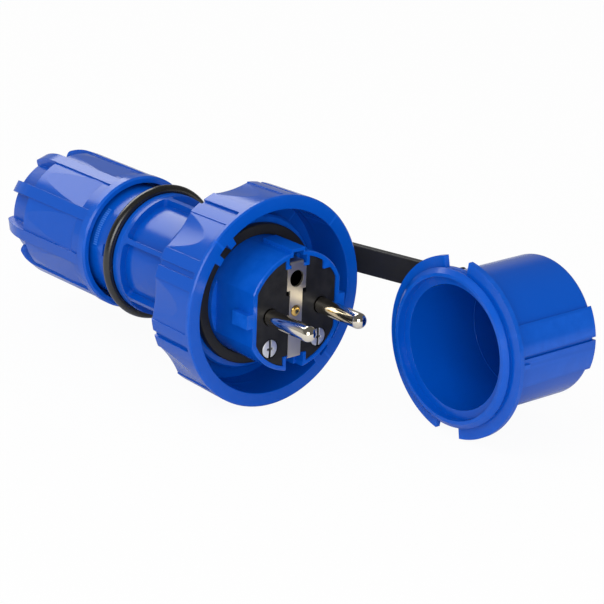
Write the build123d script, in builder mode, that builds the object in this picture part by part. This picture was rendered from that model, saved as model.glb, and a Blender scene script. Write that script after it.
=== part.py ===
"""Waterproof mains plug with a bayonet coupling ring, a screwed rear sleeve and a tethered cap.

The origin is the middle of the contact face. +X runs along the plug's axis to the pin tips, +Y
runs along the line of the two pins, and +Z is up. All lengths are in millimetres and all angles
are in degrees, counted about the plug's axis from +Y towards +Z.
"""

import math
import os

from build123d import *

os.makedirs("parts", exist_ok=True)

# Fits shared by the whole plug
FREE = 0.3  # gap between pieces that never touch
SLIP = 0.1  # gap between pieces that are pushed together once
RUN = 0.06  # gap between pieces that turn or slide on each other

# Pins
pin_diameter = 4.8
pin_reach = 19.0
pin_pitch = 19.0
pin_dome = 2.35
pin_neck_depth = 0.4  # narrower foot of a pin, where it passes through the face plate
pin_neck_length = 0.4
pin_root_radius = 3.3
pin_root_rear = -26.0

# Contact carrier, the blue block that stands out of the housing
carrier_radius = 18.1
carrier_flat = 16.2  # half the width across the two side flats
carrier_flat_length = 16.8
carrier_reach = 17.5  # from the gasket's front to the contact face
carrier_floor_rear = -24.0
carrier_rear = -40.0
carrier_wall = 1.6
rim_wall = 1.4
guide_height = 4.2  # guide keys on the two side flats
guide_length = 6.8
guide_proud = 2.2
rim_proud = 0.4  # how far the rim stands in front of the contact face
finger_tip = 13.4  # the fingers of the rim that hold the two ends of the earth strip
finger_outer = 4.3
finger_wall = 1.0
finger_hook = 1.2
spine_width = 4.8  # raised spine on top of the carrier
spine_length = 13.2
spine_rise = 1.1  # above the carrier's round side
spine_roof = 1.0
spine_wall = 0.5
finger_room_top = 16.7  # upper end of the room between the two upper fingers
coding_block = (9.7, 12.8, 11.1)  # block inside the rim, its two sides and its lower edge

# Face plate
plate_thickness = 3.0
pin_hole_radius = 2.6
relief_size = 1.4  # small pockets beside the step in the earth strip

# Earth strip and what fixes it
earth_thickness = 0.8
earth_narrow = 4.8
earth_wide = 7.0
earth_wide_from = 6.5
earth_top = 15.2
earth_bottom = -14.4
earth_leg_length = 12.0
earth_hole_height = 9.9
earth_hole_radius = 2.5
earth_tube_wall = 0.7
earth_tube_rear = -20.0
rivet_radius = 1.6
rivet_head_height = 0.4

# Screws that hold the face plate
face_screw_y = 9.1
face_screw_z = -9.95
face_screw_head = 2.8
face_screw_head_height = 1.8
face_screw_shank = 1.5
face_screw_length = 16.0
face_screw_recess = 0.15
drive_slot = 0.9
drive_cross = 2.6
drive_depth = 1.0

# Terminals behind the pins
terminal_width = 7.6
terminal_length = 11.0
terminal_wire_radius = 1.9
terminal_screw_radius = 1.6
terminal_screw_head = 2.3
terminal_screw_head_height = 1.6
earth_terminal_z = -9.0

# Seals
gasket_thickness = 2.5
gasket_outer = 21.4
collar_seal_section = 3.2
collar_seal_outer = 21.3
carrier_seal_section = 1.2
carrier_seal_x = -31.0

# Coupling ring
ring_outer = 32.2
ring_shell = 4.2
ring_taper = 0.5  # how much the outside narrows towards the rear
ring_front = -9.1
ring_rear = -27.5
ring_band = 1.5  # plain band in front of the grips
ring_wall = 2.8  # rear wall that runs on the housing
ring_edge = 0.5
grip_count = 9
grip_phase = 116.0
grip_land = 17.0  # angle that a raised land covers
grip_depth = 0.35
grip_groove = 1.7
grip_groove_depth = 0.8
scoop_length = 13.5
tab_height = 2.3
tab_angle = 5.3
tab_length = 3.2
tab_places = (129.2, 142.1, 309.2, 322.1)
ramp_from = 9.5  # behind the ring's front
ramp_height = 1.2
ramp_width = 2.4
ramp_places = (60.0, 240.0)
ramp_angle = 70.0

# Housing
flange_height = 1.6
journal_wall = 3.8
retainer_thickness = 1.0
retainer_depth = 0.8
retainer_proud = 1.6
retainer_gap = 40.0
bore_wall = 1.8
waist_wall = 0.7  # at the ribs, outside the carrier's bore
waist_recess = 2.1
waist_front = -41.0
collar_front = -61.0
collar_width = 2.0
collar_proud = 0.15
hoop_width = 1.4
panel_corner = 1.5
rib_count = 6
rib_phase = 34.0
rib_width = 1.6
neck_step = 1.1  # from the ribs down to the neck
neck_wall = 4.8
neck_end = -90.0
pointer_size = 4.4
pointer_ahead = 4.8  # from the sleeve's mouth to the middle of the pointer
pointer_proud = 0.45
pointer_angle = 172.0

# Rear sleeve, shown partly unscrewed
sleeve_front = -75.5
sleeve_panel_end = -109.8
sleeve_end = -120.5
sleeve_lip = 3.4
sleeve_lip_proud = 0.8
sleeve_wall = 2.5  # from the neck to the panels
sleeve_land_proud = 0.5
sleeve_mouth_gap = 1.3
sleeve_mouth_depth = 7.2
nose_taper = 1.2
fin_drop = 2.2  # how far a fin's outer edge falls towards its end
fin_round = 1.0
sleeve_phase = 108.0
sleeve_land = 3.7  # width of a land and of its fin
facet_depth = 0.8
facet_length = 24.0
facet_behind_lip = 4.0
chamber_wall = 5.3
cable_hole = 8.2
sleeve_travel = 9.0

# Cable clamp inside the sleeve
cage_front = -88.0
cage_rear = -108.0
cage_flange = 3.0
cage_bore = 9.8
claw_count = 8
claw_slot = 1.6
seal_bore = 6.5
seal_length = 14.0
washer_thickness = 1.0

# Strap between the housing and the cap
strap_width = 8.4
strap_thickness = 2.4
strap_rise = 10.3  # from the cap's axis up to the strap's middle line
strap_angle = 13.6  # turn from +X towards +Y
strap_clear = 7.0  # from the ring's outside to the strap's middle line
strap_bend = 4.5
eye_wall = 4.2
eye_x = -32.0
flex_reach = 3.8  # from the eye's outside to where the strap leaves its eye
saddle_width = 11.0
saddle_wall = 1.8
saddle_back = 3.0  # from the strap's middle line to the middle of the saddle
saddle_from = 134.0  # angles about the cap's axis, from +X towards +Z
saddle_sweep = 150.0

# Cap
cap_x = 38.4
cap_mouth_y = 24.6
cap_radius = 21.0
cap_length = 38.4
cap_wall = 2.5
cap_floor = 1.7
cap_edge = 1.6
cap_seat_radius = 20.9
cap_seat_depth = 2.4
cap_face_width = 1.2  # flat face round the mouth
cap_rim_round = 1.4
cap_flange_from = 2.2
cap_flange_thickness = 1.6
cap_flange_proud = 3.5
cap_flange_shift = 0.8  # the flange's strap side is drawn about a centre that lies this much further off
lobe_gap = 21.0
lobe_gap_places = (92.0, -90.8)
cap_pad_from = 8.4  # from the cap's mouth to its grip pads
cap_pad_end = 0.4  # from the pads' ends to the cap's bottom
cap_pad_proud = 0.8
cap_pads = ((6.5, 30.5), (-20.8, 4.0))
stop_place = -1.2
stop_angle = 3.6
stop_length = 2.4
stop_proud = 0.8

# Sizes that follow from the ones above
pin_radius = pin_diameter / 2
pin_y = pin_pitch / 2
plate_front = 0.0
plate_rear = plate_front - plate_thickness
carrier_front = plate_front + rim_proud
rim_inner = carrier_radius - rim_wall
flat_inner = carrier_flat - rim_wall
spine_top = carrier_radius + spine_rise
pin_neck_radius = pin_radius - pin_neck_depth
pin_neck_front = plate_front + pin_neck_length
channel_half = finger_outer - finger_wall - SLIP
spine_half = spine_width / 2 - spine_wall
channel_depth = earth_leg_length + 1.0
gasket_front = -carrier_reach
housing_front = gasket_front - gasket_thickness
carrier_bore = carrier_radius + SLIP
journal_radius = carrier_bore + journal_wall
flange_radius = journal_radius + flange_height
ring_mouth = ring_outer - ring_shell
tab_inner = ring_mouth - tab_height
ramp_inner = ring_mouth - ramp_height
ring_inner_rear = ring_rear + ring_wall
flange_rear = ring_inner_rear + FREE
retainer_front = ring_rear - FREE
retainer_rear = retainer_front - retainer_thickness
journal_rear = eye_x + strap_thickness / 2 + FREE
eye_seat_rear = eye_x - strap_thickness / 2 - FREE
eye_inner = journal_radius - 1.6
eye_outer = eye_inner + eye_wall
flex_y = eye_outer + flex_reach
waist_radius = carrier_bore + waist_wall
waist_panel = waist_radius - waist_recess
collar_radius = waist_radius + collar_proud
neck_radius = waist_radius - neck_step
neck_bore = neck_radius - neck_wall
collar_rear = collar_front - collar_width
seal_centre_x = collar_rear - collar_seal_section / 2
seal_centre_r = collar_seal_outer - collar_seal_section / 2
seal_seat = collar_seal_outer - collar_seal_section
seal_seat_rear = seal_centre_x - collar_seal_section / 2
sleeve_bore = neck_radius + SLIP
sleeve_mouth = neck_radius + sleeve_mouth_gap
sleeve_panel_radius = neck_radius + sleeve_wall
sleeve_lip_radius = sleeve_panel_radius + sleeve_lip_proud
sleeve_land_radius = sleeve_panel_radius + sleeve_land_proud
sleeve_chamber = sleeve_panel_radius - chamber_wall
nose_root_radius = neck_radius
nose_end_radius = nose_root_radius - nose_taper
sleeve_bore_end = neck_end - sleeve_travel - 1.0
chamber_end = cage_rear - washer_thickness - SLIP
cap_face_radius = cap_seat_radius + cap_face_width
cap_rim_radius = cap_face_radius + cap_rim_round
cap_flange_radius = cap_rim_radius + cap_flange_proud
cap_bore = cap_radius - cap_wall
floor_z = -ring_outer
cap_z = floor_z + cap_flange_radius
cap_bottom_y = cap_mouth_y + cap_length
strap_z = cap_z + strap_rise
strap_offset = ring_outer + strap_clear


def polar(radius, angle):
    """Point at a radius and an angle on a plane across the axis."""
    return (radius * math.cos(math.radians(angle)), radius * math.sin(math.radians(angle)))


def turned(*outline, mode=Mode.ADD):
    """Solid of revolution about the plug's axis from an outline of (x, radius) points."""
    with BuildSketch(Plane.XY, mode=Mode.PRIVATE) as section:
        with BuildLine():
            Polyline(*outline, close=True)
        make_face()
    revolve(section.sketch, axis=Axis.X, mode=mode)


def sector(plane, inner, outer, middle, width):
    """Face between two radii, centred on an angle, on a plane across an axis."""
    start = middle - width / 2
    stop = middle + width / 2
    with BuildSketch(plane, mode=Mode.PRIVATE) as face:
        with BuildLine():
            CenterArc((0, 0), outer, start, width)
            CenterArc((0, 0), inner, start, width)
            Line(polar(inner, start), polar(outer, start))
            Line(polar(inner, stop), polar(outer, stop))
        make_face()
    return face.sketch


def across(x):
    """Plane across the plug's axis at x, with +Y and +Z as its own axes."""
    return Plane.YZ.offset(x)


def cap_plane(y):
    """Plane across the cap's axis at y, facing out of the mouth, with +X and +Z as its own axes."""
    return Plane(origin=(cap_x, y, cap_z), x_dir=(1, 0, 0), z_dir=(0, -1, 0))


def facet_plane(x, distance, angle, slope):
    """Plane that leans on the axis at a slope, at a distance from it at x, and faces outwards.

    Its own x runs towards the plug's front, away from the axis.
    """
    across_y, across_z = polar(1, angle)
    rise, run = math.sin(math.radians(slope)), math.cos(math.radians(slope))
    return Plane(
        origin=(x, distance * across_y, distance * across_z),
        x_dir=(run, rise * across_y, rise * across_z),
        z_dir=(-rise, run * across_y, run * across_z),
    )


# Coupling ring
with BuildPart() as coupling_ring:
    grip_front = ring_front - ring_band
    ring_rear_radius = ring_outer - ring_taper
    panel_front_radius = ring_outer - grip_depth
    panel_rear_radius = ring_rear_radius - grip_depth
    turned(
        (ring_front, ring_mouth),
        (ring_front, ring_outer - ring_edge),
        (ring_front - ring_edge, ring_outer),
        (grip_front, ring_outer),
        (grip_front, panel_front_radius),
        (ring_rear + ring_edge, panel_rear_radius),
        (ring_rear, panel_rear_radius - ring_edge),
        (ring_rear, journal_radius + RUN),
        (ring_inner_rear, journal_radius + RUN),
        (ring_inner_rear, ring_mouth),
    )
    grip_pitch = 360 / grip_count
    grip_length = grip_front - ring_rear
    land_root = (ring_mouth + panel_rear_radius) / 2
    half_panel = math.radians((grip_pitch - grip_land) / 2)
    scoop_distance = panel_rear_radius * math.cos(half_panel)
    scoop_width = 2 * panel_rear_radius * math.sin(half_panel)
    scoop_slope = math.degrees(math.atan((panel_rear_radius - scoop_distance) / scoop_length))
    for place in range(grip_count):
        land = grip_phase + place * grip_pitch
        panel = land + grip_pitch / 2
        with BuildSketch(facet_plane(ring_rear, scoop_distance, panel, scoop_slope)):
            Rectangle(4 * scoop_length, scoop_width)
        extrude(amount=ring_shell / 2, mode=Mode.SUBTRACT)
    for place in range(grip_count):
        land = grip_phase + place * grip_pitch
        land_start = Plane(origin=(0, 0, 0), x_dir=(1, 0, 0), z_dir=(0, *polar(1, land - grip_land / 2 + 90)))
        with BuildSketch(land_start):
            with BuildLine():
                Polyline((grip_front, land_root), (grip_front, ring_outer),
                         (ring_rear + ring_edge, ring_rear_radius), (ring_rear, ring_rear_radius - ring_edge),
                         (ring_rear, land_root), close=True)
            make_face()
        revolve(axis=Axis.X, revolution_arc=grip_land)
        groove_plane = Plane(
            origin=(ring_rear, *polar(ring_rear_radius - grip_groove_depth, land)),
            x_dir=(1, 0, 0),
            z_dir=(0, *polar(1, land)),
        )
        with BuildSketch(groove_plane):
            SlotOverall(2 * grip_length, grip_groove)
        extrude(amount=grip_groove_depth + 1, mode=Mode.SUBTRACT)
    for place in tab_places:
        tab = sector(across(ring_front), tab_inner, ring_mouth + 0.5, place, tab_angle)
        extrude(tab, amount=-tab_length)
    for place in ramp_places:
        ramp = sector(across(ring_front - ramp_from), ramp_inner, ring_mouth + 0.5, place, ramp_angle)
        extrude(ramp, amount=-ramp_width)
coupling_ring.part.label = "coupling_ring"
export_step(coupling_ring.part, "parts/coupling_ring.step")

# Clip that keeps the coupling ring on the housing
retainer_groove = journal_radius - retainer_depth
with BuildPart() as ring_retainer:
    clip = sector(across(retainer_rear), retainer_groove, journal_radius + retainer_proud,
                  270, 360 - retainer_gap)
    extrude(clip, amount=retainer_thickness)
ring_retainer.part.label = "ring_retainer"
export_step(ring_retainer.part, "parts/ring_retainer.step")

# Front housing with the journal of the ring, the ribbed waist and the threaded neck
with BuildPart() as front_housing:
    turned(
        (housing_front, carrier_bore),
        (housing_front, flange_radius - 0.6),
        (housing_front - 0.6, flange_radius),
        (flange_rear, flange_radius),
        (flange_rear, journal_radius),
        (retainer_front, journal_radius),
        (retainer_front, retainer_groove),
        (retainer_rear, retainer_groove),
        (retainer_rear, journal_radius),
        (journal_rear, journal_radius),
        (journal_rear, eye_inner - RUN),
        (eye_seat_rear, eye_inner - RUN),
        (eye_seat_rear, journal_radius - 0.6),
        (eye_seat_rear - 2.0, journal_radius - 0.6),
        (waist_front, waist_radius),
        (collar_front, waist_radius),
        (collar_front - 0.2, collar_radius),
        (collar_rear, collar_radius),
        (collar_rear, seal_seat),
        (seal_seat_rear, seal_seat),
        (seal_seat_rear, neck_radius),
        (neck_end + 1, neck_radius),
        (neck_end, neck_radius - 1),
        (neck_end, neck_bore),
        (collar_rear, neck_bore),
        (collar_rear, waist_panel - bore_wall),
        (carrier_rear - 4, waist_panel - bore_wall),
        (carrier_rear - 2, carrier_bore - 1.6),
        (carrier_rear, carrier_bore - 1.6),
        (carrier_rear, carrier_bore),
    )
    rib_pitch = 360 / rib_count
    rib_angle = math.degrees(rib_width / waist_radius)
    panel_length = waist_front - collar_front - hoop_width
    for place in range(rib_count):
        panel = rib_phase + (place + 0.5) * rib_pitch
        recess = sector(across(collar_front + hoop_width), waist_panel, waist_radius + 2,
                        panel, rib_pitch - rib_angle)
        with BuildPart(mode=Mode.PRIVATE) as pocket:
            extrude(recess, amount=panel_length)
            fillet(pocket.faces().filter_by(Axis.X).edges().filter_by(GeomType.LINE), panel_corner)
        add(pocket.part, mode=Mode.SUBTRACT)
    pointer_plane = Plane(
        origin=(sleeve_front + pointer_ahead, *polar(neck_radius, pointer_angle)),
        x_dir=(1, 0, 0),
        z_dir=(0, *polar(1, pointer_angle)),
    )
    with BuildSketch(pointer_plane):
        RegularPolygon(pointer_size / 2, 3, rotation=60)
    extrude(amount=pointer_proud, both=True)
front_housing.part.label = "front_housing"
export_step(front_housing.part, "parts/front_housing.step")

# Contact carrier
with BuildPart() as contact_carrier:
    turned(
        (carrier_front, 0),
        (carrier_front, carrier_radius - 0.3),
        (carrier_front - 0.3, carrier_radius),
        (carrier_rear, carrier_radius),
        (carrier_rear, carrier_radius - carrier_wall),
        (carrier_floor_rear, carrier_radius - carrier_wall),
        (carrier_floor_rear, 0),
    )
    for side in (1, -1):
        with BuildSketch(across(carrier_front)):
            with Locations((side * (carrier_flat + carrier_radius) / 2, 0)):
                Rectangle(carrier_radius - carrier_flat, 2 * carrier_radius)
        extrude(amount=-carrier_flat_length, mode=Mode.SUBTRACT)
    with BuildSketch(across(carrier_front)):
        Rectangle(2 * (carrier_flat + guide_proud), guide_height)
    extrude(amount=-guide_length)
    with BuildSketch(across(carrier_front)):
        Rectangle(spine_width, spine_top, align=(Align.CENTER, Align.MIN))
    extrude(amount=-spine_length)
    rim_depth = carrier_front - plate_rear
    with BuildSketch(across(carrier_front)):
        Circle(rim_inner)
        Rectangle(2 * flat_inner, 2 * carrier_radius, mode=Mode.INTERSECT)
    extrude(amount=-rim_depth, mode=Mode.SUBTRACT)
    with BuildSketch(across(carrier_front)):
        for end in (1, -1):
            finger_middle = end * (finger_tip + carrier_radius) / 2
            with Locations((finger_outer - finger_wall / 2, finger_middle),
                           (finger_wall / 2 - finger_outer, finger_middle)):
                Rectangle(finger_wall, carrier_radius - finger_tip)
            with Locations((0, end * (finger_tip + finger_hook / 2))):
                Rectangle(2 * finger_outer, finger_hook)
                Rectangle(earth_narrow + 2 * SLIP, finger_hook, mode=Mode.SUBTRACT)
        block_left, block_right, block_low = coding_block
        with Locations(((block_left + block_right) / 2, block_low)):
            Rectangle(block_right - block_left, carrier_radius, align=(Align.CENTER, Align.MIN))
        Circle(carrier_radius - 0.6, mode=Mode.INTERSECT)
    extrude(amount=-rim_depth)
    with BuildSketch(across(carrier_front)):
        top_low = earth_top - earth_thickness - SLIP
        with Locations((0, top_low)):
            Rectangle(2 * channel_half, finger_room_top - top_low, align=(Align.CENTER, Align.MIN))
            Rectangle(2 * spine_half, spine_top - spine_roof - top_low, align=(Align.CENTER, Align.MIN))
        with Locations((0, earth_bottom + earth_thickness + SLIP)):
            Rectangle(2 * channel_half, carrier_radius, align=(Align.CENTER, Align.MAX))
    extrude(amount=-rim_depth, mode=Mode.SUBTRACT)
    with BuildSketch(across(plate_rear)):
        with Locations((0, top_low)):
            Rectangle(earth_narrow + 2 * SLIP, finger_room_top - top_low,
                      align=(Align.CENTER, Align.MIN))
        with Locations((0, earth_bottom + earth_thickness + SLIP)):
            Rectangle(earth_narrow + 2 * SLIP, carrier_radius, align=(Align.CENTER, Align.MAX))
    extrude(amount=-channel_depth - plate_rear, mode=Mode.SUBTRACT)
    with BuildSketch(across(plate_rear)):
        with GridLocations(pin_pitch, 1, 2, 1):
            Circle(pin_root_radius + SLIP)
        with Locations((0, earth_hole_height)):
            Circle(earth_hole_radius + earth_tube_wall + SLIP)
        with Locations((face_screw_y, face_screw_z), (-face_screw_y, face_screw_z)):
            Circle(face_screw_shank + SLIP)
        Circle(rivet_radius * 0.6)
    extrude(amount=carrier_floor_rear - plate_rear, mode=Mode.SUBTRACT)
    seal_groove = carrier_seal_section / 2 + SLIP
    turned(
        (carrier_seal_x + seal_groove, carrier_radius + 1),
        (carrier_seal_x + seal_groove, carrier_bore - carrier_seal_section - 0.05),
        (carrier_seal_x - seal_groove, carrier_bore - carrier_seal_section - 0.05),
        (carrier_seal_x - seal_groove, carrier_radius + 1),
        mode=Mode.SUBTRACT,
    )
contact_carrier.part.label = "contact_carrier"
export_step(contact_carrier.part, "parts/contact_carrier.step")

# Face plate
with BuildPart() as face_plate:
    with BuildSketch(across(plate_front)):
        Circle(rim_inner - SLIP)
        Rectangle(2 * (flat_inner - SLIP), 2 * carrier_radius, mode=Mode.INTERSECT)
        notch_width = 2 * (finger_outer + SLIP)
        with Locations((0, finger_tip - SLIP)):
            Rectangle(notch_width, carrier_radius, align=(Align.CENTER, Align.MIN), mode=Mode.SUBTRACT)
        with Locations((0, SLIP - finger_tip)):
            Rectangle(notch_width, carrier_radius, align=(Align.CENTER, Align.MAX), mode=Mode.SUBTRACT)
        with Locations(((block_left + block_right) / 2, block_low - SLIP)):
            Rectangle(block_right - block_left + 2 * SLIP, carrier_radius, align=(Align.CENTER, Align.MIN),
                      mode=Mode.SUBTRACT)
        with GridLocations(pin_pitch, 1, 2, 1):
            Circle(pin_hole_radius, mode=Mode.SUBTRACT)
        with Locations((0, earth_hole_height)):
            Circle(earth_hole_radius + earth_tube_wall + SLIP, mode=Mode.SUBTRACT)
        with Locations((face_screw_y, face_screw_z), (-face_screw_y, face_screw_z)):
            Circle(face_screw_shank + SLIP, mode=Mode.SUBTRACT)
        Circle(rivet_radius * 0.6, mode=Mode.SUBTRACT)
    extrude(amount=-plate_thickness)
    with BuildSketch(across(plate_front)):
        with Locations((face_screw_y, face_screw_z), (-face_screw_y, face_screw_z)):
            Circle(face_screw_head + SLIP)
    extrude(amount=-face_screw_head_height - face_screw_recess, mode=Mode.SUBTRACT)
    with BuildSketch(across(plate_front)):
        Rectangle(earth_narrow + 2 * SLIP, 2 * rim_inner)
        with Locations((0, earth_wide_from - SLIP)):
            Rectangle(earth_wide + 2 * SLIP, finger_tip, align=(Align.CENTER, Align.MIN))
    extrude(amount=-earth_thickness, mode=Mode.SUBTRACT)
    with BuildSketch(across(plate_front)):
        with Locations((0, earth_wide_from - relief_size / 2)):
            Rectangle(earth_narrow + 2 * relief_size, relief_size)
    extrude(amount=-earth_thickness - 0.6, mode=Mode.SUBTRACT)
face_plate.part.label = "face_plate"
export_step(face_plate.part, "parts/face_plate.step")

# Earth strip, bent back along the carrier at both ends
with BuildPart() as earth_strip:
    with BuildSketch(across(plate_front)):
        with Locations((0, earth_bottom)):
            Rectangle(earth_narrow, earth_top - earth_bottom, align=(Align.CENTER, Align.MIN))
        with Locations((0, earth_wide_from)):
            Rectangle(earth_wide, finger_tip - 2 * SLIP - earth_wide_from, align=(Align.CENTER, Align.MIN))
        with Locations((0, earth_hole_height)):
            Circle(earth_hole_radius, mode=Mode.SUBTRACT)
        Circle(rivet_radius * 0.6, mode=Mode.SUBTRACT)
    extrude(amount=-earth_thickness)
    with BuildSketch(across(plate_front)):
        with Locations((0, earth_top - earth_thickness / 2), (0, earth_bottom + earth_thickness / 2)):
            Rectangle(earth_narrow, earth_thickness)
    extrude(amount=-earth_leg_length)
    with BuildSketch(across(plate_front)):
        Circle(rivet_radius + SLIP)
    extrude(amount=-rivet_head_height, mode=Mode.SUBTRACT)
    bends = earth_strip.edges().filter_by(Axis.Y).group_by(Axis.X)[-1].sort_by(Axis.Z)
    fillet([bends[0], bends[-1]], earth_thickness * 0.7)
earth_strip.part.label = "earth_strip"
export_step(earth_strip.part, "parts/earth_strip.step")

# Socket tube behind the hole in the earth strip
with BuildPart() as earth_socket:
    tube_front = plate_front - earth_thickness
    with BuildSketch(across(tube_front)):
        with Locations((0, earth_hole_height)):
            Circle(earth_hole_radius + earth_tube_wall)
            Circle(earth_hole_radius, mode=Mode.SUBTRACT)
    extrude(amount=earth_tube_rear - tube_front)
earth_socket.part.label = "earth_socket"
export_step(earth_socket.part, "parts/earth_socket.step")

# Rivet in the middle of the earth strip
with BuildPart() as earth_rivet:
    turned((carrier_floor_rear, 0), (plate_front, 0), (plate_front, rivet_radius * 0.6),
           (carrier_floor_rear, rivet_radius * 0.6))
    with BuildSketch(across(plate_front)):
        Circle(rivet_radius)
    extrude(amount=-rivet_head_height)
earth_rivet.part.label = "earth_rivet"
export_step(earth_rivet.part, "parts/earth_rivet.step")

# Pins
for name, side in (("pin_left", -1), ("pin_right", 1)):
    with BuildPart() as pin:
        with BuildSketch(across(pin_neck_front)):
            with Locations((side * pin_y, 0)):
                Circle(pin_radius)
        extrude(amount=pin_reach - pin_neck_front)
        fillet(pin.edges().group_by(Axis.X)[-1], pin_dome)
        with BuildSketch(across(plate_rear)):
            with Locations((side * pin_y, 0)):
                Circle(pin_neck_radius)
        extrude(amount=pin_neck_front - plate_rear)
        with BuildSketch(across(plate_rear)):
            with Locations((side * pin_y, 0)):
                Circle(pin_root_radius)
        extrude(amount=pin_root_rear - plate_rear)
    pin.part.label = name
    export_step(pin.part, f"parts/{name}.step")

# Screws in the face plate, with a slot across a small cross
with BuildPart() as face_screws:
    head_front = plate_front - face_screw_recess
    places = ((face_screw_y, face_screw_z), (-face_screw_y, face_screw_z))
    with BuildSketch(across(head_front)):
        with Locations(*places):
            Circle(face_screw_head)
    extrude(amount=-face_screw_head_height)
    with BuildSketch(across(head_front)):
        with Locations(*places):
            Circle(face_screw_shank)
    extrude(amount=-face_screw_length)
    with BuildSketch(across(head_front)):
        with Locations(*places):
            Rectangle(drive_slot, 2 * face_screw_head)
            Rectangle(drive_cross, drive_slot)
    extrude(amount=-drive_depth, mode=Mode.SUBTRACT)
face_screws.part.label = "face_screws"
export_step(face_screws.part, "parts/face_screws.step")

# Terminal blocks behind the pins and behind the earth rivet
terminals = (
    ("line_terminal", pin_root_rear, -pin_y, 0.0),
    ("neutral_terminal", pin_root_rear, pin_y, 0.0),
    ("earth_terminal", carrier_floor_rear, 0.0, earth_terminal_z),
)
for name, terminal_front, y, z in terminals:
    with BuildPart() as terminal:
        with BuildSketch(across(terminal_front)):
            with Locations((y, z)):
                RectangleRounded(terminal_width, terminal_width, 1)
        extrude(amount=-terminal_length)
        with BuildSketch(across(terminal_front - terminal_length)):
            with Locations((y, z)):
                Circle(terminal_wire_radius)
        extrude(amount=terminal_length * 0.8, mode=Mode.SUBTRACT)
        with Locations((terminal_front - terminal_length * 0.6, y, z + terminal_width / 2)):
            Hole(terminal_screw_radius + RUN, terminal_width / 2)
    terminal.part.label = name
    export_step(terminal.part, f"parts/{name}.step")

# Clamping screws of the three terminals
with BuildPart() as terminal_screws:
    for name, terminal_front, y, z in terminals:
        top = z + terminal_width / 2
        with BuildSketch(Plane.XY.offset(top)):
            with Locations((terminal_front - terminal_length * 0.6, y)):
                Circle(terminal_screw_radius)
        extrude(amount=-terminal_width / 2 + terminal_wire_radius)
        with BuildSketch(Plane.XY.offset(top)):
            with Locations((terminal_front - terminal_length * 0.6, y)):
                Circle(terminal_screw_head)
        extrude(amount=terminal_screw_head_height)
terminal_screws.part.label = "terminal_screws"
export_step(terminal_screws.part, "parts/terminal_screws.step")

# Flat gasket in front of the housing
with BuildPart() as face_gasket:
    turned(
        (gasket_front, carrier_radius + SLIP),
        (gasket_front, gasket_outer),
        (housing_front, gasket_outer),
        (housing_front, carrier_radius + SLIP),
    )
    fillet(face_gasket.edges().group_by(Axis.X)[-1].sort_by(SortBy.RADIUS)[-1], 0.5)
face_gasket.part.label = "face_gasket"
export_step(face_gasket.part, "parts/face_gasket.step")

# Round seals
for name, x, outer, section in (
    ("collar_seal", seal_centre_x, collar_seal_outer, collar_seal_section),
    ("carrier_seal", carrier_seal_x, carrier_bore - 0.02, carrier_seal_section),
):
    with BuildPart() as seal:
        with BuildSketch(Plane.XY):
            with Locations((x, outer - section / 2)):
                Circle(section / 2)
        revolve(axis=Axis.X)
    seal.part.label = name
    export_step(seal.part, f"parts/{name}.step")

# Rear sleeve
with BuildPart() as rear_sleeve:
    lip_rear = sleeve_front - sleeve_lip
    turned(
        (sleeve_front, sleeve_mouth),
        (sleeve_front, sleeve_lip_radius - 0.6),
        (sleeve_front - 0.6, sleeve_lip_radius),
        (lip_rear, sleeve_lip_radius),
        (lip_rear - 0.6, sleeve_panel_radius),
        (sleeve_panel_end + 1, sleeve_panel_radius),
        (sleeve_panel_end, sleeve_panel_radius - 1),
        (sleeve_panel_end, nose_root_radius),
        (sleeve_end + 1, nose_end_radius),
        (sleeve_end, nose_end_radius - 1),
        (sleeve_end, cable_hole),
        (chamber_end, cable_hole),
        (chamber_end, sleeve_chamber),
        (sleeve_bore_end, sleeve_chamber),
        (sleeve_bore_end, sleeve_bore),
        (sleeve_front - sleeve_mouth_depth, sleeve_bore),
        (sleeve_front - sleeve_mouth_depth, sleeve_mouth),
    )
    sleeve_pitch = 360 / grip_count
    facet_slope = math.degrees(math.atan(facet_depth / facet_length))
    for place in range(grip_count):
        panel = sleeve_phase + (place + 0.5) * sleeve_pitch
        facet = facet_plane(lip_rear - facet_behind_lip, sleeve_panel_radius - facet_depth, panel, -facet_slope)
        with BuildSketch(facet):
            Rectangle(facet_length + 6, sleeve_panel_radius, align=(Align.MAX, Align.CENTER))
        extrude(amount=sleeve_wall, mode=Mode.SUBTRACT)
    fin_end_radius = sleeve_land_radius - fin_drop
    fin_middle = (sleeve_panel_end + sleeve_end) / 2
    for place in range(grip_count):
        land = sleeve_phase + place * sleeve_pitch
        land_plane = Plane(origin=(0, 0, 0), x_dir=(1, 0, 0), z_dir=(0, *polar(1, land + 90)))
        with BuildSketch(land_plane):
            with BuildLine():
                fin = ThreePointArc((sleeve_panel_end, sleeve_land_radius),
                                    (fin_middle, sleeve_land_radius - fin_drop * 0.3),
                                    (sleeve_end + fin_round, fin_end_radius))
                tip = ThreePointArc(fin @ 1, (sleeve_end + 0.3 * fin_round, fin_end_radius - 0.56 * fin_round),
                                    (sleeve_end, fin_end_radius - 1.5 * fin_round))
                Polyline(tip @ 1, (sleeve_end, nose_end_radius - 2), (sleeve_panel_end, nose_end_radius - 2),
                         (sleeve_panel_end, sleeve_panel_radius - 1.4), (lip_rear, sleeve_panel_radius - 1.4),
                         (lip_rear, sleeve_land_radius), fin @ 0)
            make_face()
        extrude(amount=sleeve_land / 2, both=True)
rear_sleeve.part.label = "rear_sleeve"
export_step(rear_sleeve.part, "parts/rear_sleeve.step")

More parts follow.
